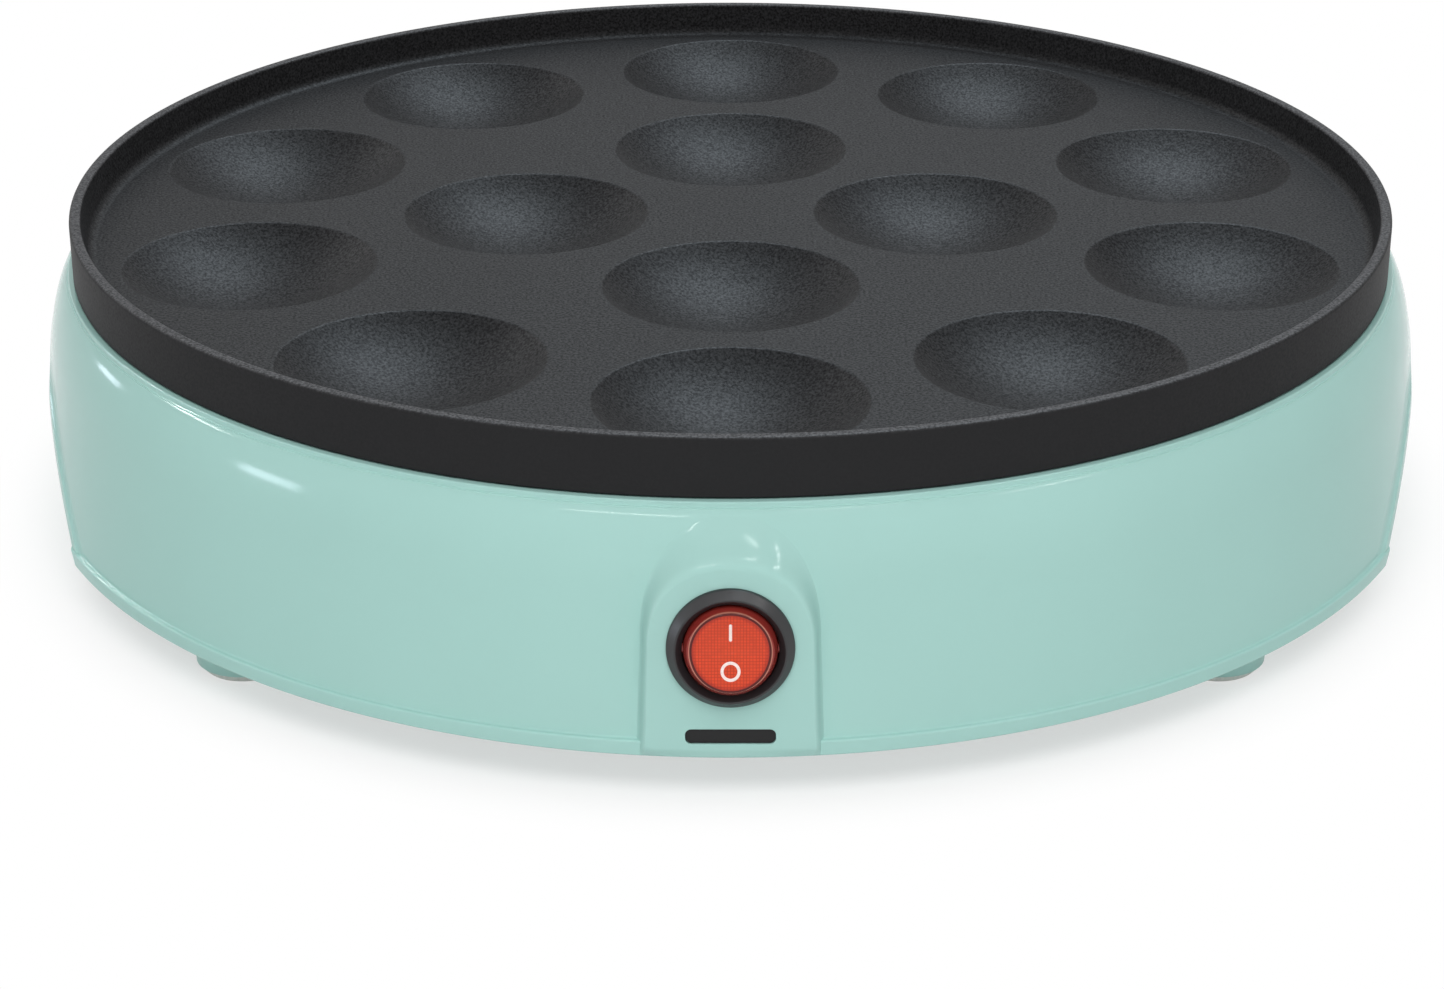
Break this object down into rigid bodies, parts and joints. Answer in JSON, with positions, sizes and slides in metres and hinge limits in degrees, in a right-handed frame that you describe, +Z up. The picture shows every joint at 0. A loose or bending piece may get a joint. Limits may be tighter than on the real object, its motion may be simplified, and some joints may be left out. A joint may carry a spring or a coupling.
{
  "type": "mini pancake maker",
  "caption": "Round countertop mini pancake maker: coated plate with round wells on a flared mint body, with a front rocker switch and side finger grips.",
  "frame": {"origin": "on the table under the plate's axis", "axes": "+Z up along the plate's axis, -Y to the front panel with the switch, +X to the right seen from the front"},
  "size_m": [0.2674, 0.2839, 0.0616],
  "materials": {
    "shell": "gloss",
    "cover": "satin",
    "pads": "matte",
    "coated_plate": "dark non-stick coating, fine grain",
    "steel": "plated",
    "shield": "pressed sheet",
    "element": "oxidised tube",
    "ceramic": "fired ceramic",
    "brass": "plain",
    "black_plastic": "satin",
    "lamp": "clear",
    "red_rocker": "clear red",
    "sleeve": "soft sleeve",
    "wire_brown": "insulation",
    "wire_black": "insulation",
    "wire_tan": "glass braid",
    "wire_blue": "insulation",
    "wire_green": "insulation"
  },
  "bodies": {
    "housing": {"body_shell": "shell", "bottom_cover": "cover", "foot_pads": "pads", "cover_screws": "steel", "baking_plate": "coated_plate", "plate_screws": "steel", "plate_washers": "ceramic", "heat_shield": "shield", "heating_element": "element", "heater_sleeves": "ceramic", "heater_pins": "brass", "thermostat": "ceramic", "thermostat_strap": "steel", "strap_screws": "steel", "thermal_fuse": "ceramic", "fuse_clip": "steel", "terminal_block": "ceramic", "terminal_screws": "brass", "earth_screw": "brass", "earth_lug": "steel", "cord_gland": "black_plastic", "gland_nut": "black_plastic", "switch_housing": "black_plastic", "switch_blades": "brass", "neon_lamp": "lamp", "slot_insert": "black_plastic", "spade_sleeves": "sleeve", "live_wire": "wire_brown", "switched_wire": "wire_black", "fuse_wire": "wire_tan", "heater_wire": "wire_tan", "neutral_wire": "wire_blue", "earth_wire": "wire_green"},
    "rocker": {"rocker": "red_rocker", "plunger": "steel", "plunger_spring": "steel"},
    "contact_lever": {"contact_lever": "brass"}
  },
  "joints": [
    {"name": "rocker_tilt", "type": "hinge", "parent": "housing", "child": "rocker", "pos_m": [0, -0.13667, 0.02827], "axis": [1, 0, 0], "range_deg": [0, 18]},
    {"name": "lever_tilt", "type": "hinge", "parent": "housing", "child": "contact_lever", "pos_m": [0, -0.12668, 0.02786], "axis": [1, 0, 0], "range_deg": [-8, 0]}
  ],
  "couplings": [
    {"joint": "lever_tilt", "follows": "rocker_tilt", "ratio": -0.44444}
  ]
}
